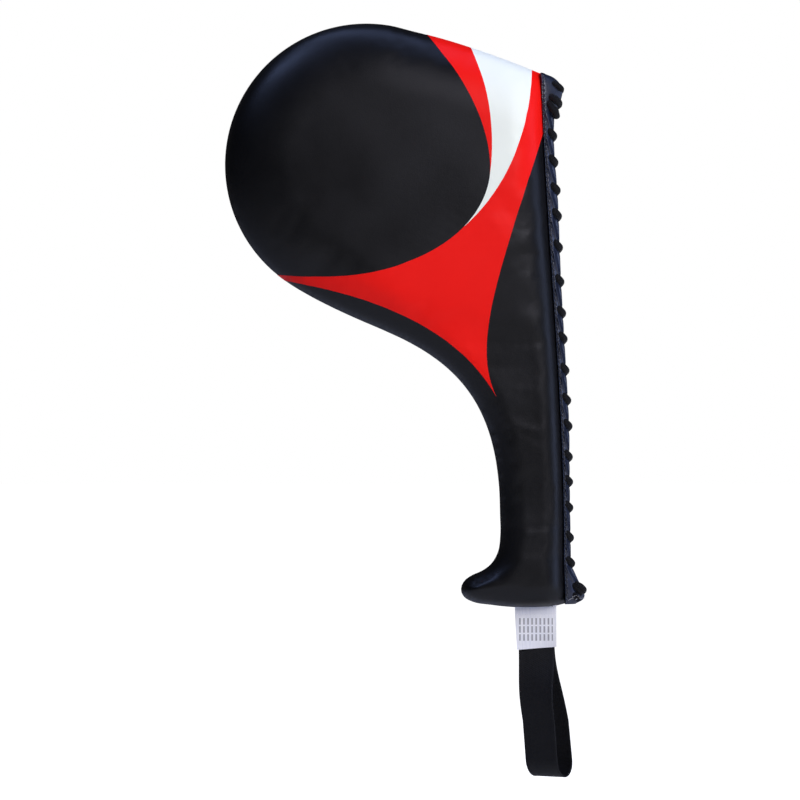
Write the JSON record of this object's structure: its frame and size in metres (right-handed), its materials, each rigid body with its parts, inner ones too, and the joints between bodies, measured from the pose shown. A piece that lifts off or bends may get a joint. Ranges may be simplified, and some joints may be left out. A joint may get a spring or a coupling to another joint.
{
  "type": "martial arts kick target paddle",
  "caption": "Hand-held kick target: a round padded head on a padded handle in one leather-look cover, laced along one straight edge, with a webbing wrist loop.",
  "frame": {"origin": "middle of the hand grip, on the pad's mid-plane", "axes": "+Z along the handle towards the head, +X towards the laced edge, -Y out of the front face"},
  "size_m": [0.2538, 0.0506, 0.5275],
  "materials": {
    "cover": "matte coated leatherette with a fine grain",
    "red_film": "satin heat-pressed film",
    "white_film": "satin heat-pressed film",
    "edge_strip": "semi-gloss coated leatherette",
    "thread": "bonded nylon thread",
    "lace": "round braided cord",
    "foam": "closed-cell foam, hidden",
    "dense_foam": "dense closed-cell foam, hidden",
    "board": "plywood, hidden",
    "webbing": "woven polypropylene webbing",
    "label": "satin ribbon"
  },
  "bodies": {
    "pad": {"front_cover": "cover", "back_cover": "cover", "front_red_swoosh": "red_film", "back_red_swoosh": "red_film", "front_red_crescent": "red_film", "back_red_crescent": "red_film", "front_white_panel": "white_film", "back_white_panel": "white_film", "front_edge_strip": "edge_strip", "back_edge_strip": "edge_strip", "front_topstitch": "thread", "back_topstitch": "thread", "edge_lace": "lace", "lace_top_knot": "lace", "lace_bottom_knot": "lace", "front_strike_foam": "foam", "back_strike_foam": "foam", "core_foam": "dense_foam", "handle_board": "board", "rim_seam_thread": "thread", "strap_anchor": "webbing", "label_tab": "label"},
    "strap": {"wrist_strap": "webbing"},
    "label": {"care_label": "label"}
  },
  "joints": [
    {"name": "strap_swing", "type": "hinge", "parent": "pad", "child": "strap", "pos_m": [0.001, 0, -0.0672], "axis": [1, 0, 0], "range_deg": [-50, 85]},
    {"name": "label_flip", "type": "hinge", "parent": "strap", "child": "label", "pos_m": [0.001, -0.00165, -0.0672], "axis": [1, 0, 0], "range_deg": [-46, 0]}
  ]
}
